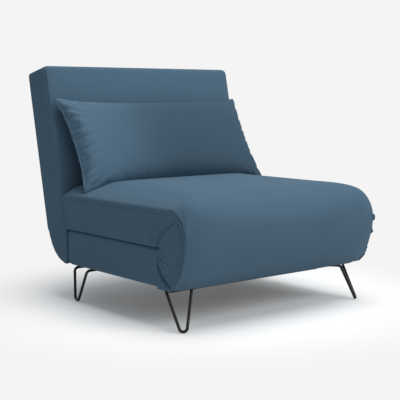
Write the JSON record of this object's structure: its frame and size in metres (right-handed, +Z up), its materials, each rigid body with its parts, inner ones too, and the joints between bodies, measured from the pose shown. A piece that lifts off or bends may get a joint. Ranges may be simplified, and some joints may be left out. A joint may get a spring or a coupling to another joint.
{
  "type": "convertible chair bed",
  "caption": "Armless upholstered chair bed: the seat unfolds forward onto a pull-out leg frame and the back lies flat, with a loose lumbar cushion and hairpin legs.",
  "frame": {"origin": "on the floor under the middle of the chair's bounding box, with the bed folded up as a chair", "axes": "+Z up, the sitter faces -Y, +X is towards the sitter's left hand"},
  "size_m": [0.88, 0.9685, 0.8559],
  "materials": {
    "velvet": "short-pile slate blue velvet",
    "lining": "thin black non-woven",
    "webbing": "woven elastic webbing",
    "black_steel": "satin black powder coat",
    "frame_steel": "dark grey powder coat",
    "hinge_steel": "zinc plated",
    "birch": "clear lacquered laminate",
    "black_plastic": "moulded nylon"
  },
  "bodies": {
    "base": {"lower_cushion": "velvet", "underside_cover": "lining", "base_side_rails": "frame_steel", "base_cross_rails": "frame_steel", "base_slats": "birch", "slat_holders": "black_plastic", "slide_channels": "frame_steel", "slide_pads": "black_plastic", "slide_runners": "black_plastic", "channel_bolts": "hinge_steel", "front_hinge_brackets": "hinge_steel", "front_hinge_pins": "hinge_steel", "back_hinge_plates": "hinge_steel", "back_hinge_pins": "hinge_steel", "pawl_pins": "hinge_steel", "pawl_springs": "hinge_steel", "rear_leg_left": "black_steel", "rear_leg_right": "black_steel", "rear_leg_plates": "black_steel", "rear_leg_bolts": "hinge_steel"},
    "upper_seat": {"upper_cushion": "velvet", "front_fold": "velvet", "seat_frame_sides": "frame_steel", "seat_frame_cross": "frame_steel", "seat_webbing": "webbing", "seat_hinge_arms": "hinge_steel"},
    "backrest": {"back_cushion": "velvet", "rear_fold": "velvet", "back_frame_sides": "frame_steel", "back_frame_cross": "frame_steel", "back_webbing": "webbing", "back_hinge_arms": "hinge_steel"},
    "pawl_left": {"pawl_left": "hinge_steel"},
    "pawl_right": {"pawl_right": "hinge_steel"},
    "leg_frame": {"slide_tubes": "frame_steel", "slide_tube_caps": "black_plastic", "slide_cross_tubes": "frame_steel", "front_cross_tube": "frame_steel", "front_leg_left": "black_steel", "front_leg_right": "black_steel", "front_leg_plates": "black_steel", "front_leg_bolts": "hinge_steel"},
    "lumbar": {"lumbar_cushion": "velvet"}
  },
  "joints": [
    {"name": "seat_flip", "type": "hinge", "parent": "base", "child": "upper_seat", "pos_m": [0, -0.32328, 0.27], "axis": [1, 0, 0], "range_deg": [0, 180], "deforming": ["front_fold", "lumbar_cushion"]},
    {"name": "back_recline", "type": "hinge", "parent": "base", "child": "backrest", "pos_m": [0, 0.23172, 0.27], "axis": [-1, 0, 0], "range_deg": [0, 77.75], "deforming": ["rear_fold"]},
    {"name": "leg_slide", "type": "slide", "parent": "base", "child": "leg_frame", "axis": [0, -1, 0], "range_m": [0, 0.38]},
    {"name": "cushion_lift", "type": "slide", "parent": "backrest", "child": "lumbar", "axis": [0, -0.9772, 0.2122], "range_m": [0, 0.3]},
    {"name": "pawl_left_swing", "type": "hinge", "parent": "base", "child": "pawl_left", "pos_m": [0, 0.18022, 0.224], "axis": [1, 0, 0], "range_deg": [0, 7]},
    {"name": "pawl_right_swing", "type": "hinge", "parent": "base", "child": "pawl_right", "pos_m": [0, 0.18022, 0.224], "axis": [1, 0, 0], "range_deg": [0, 7]}
  ],
  "couplings": [
    {"joint": "pawl_right_swing", "follows": "pawl_left_swing", "ratio": 1}
  ]
}
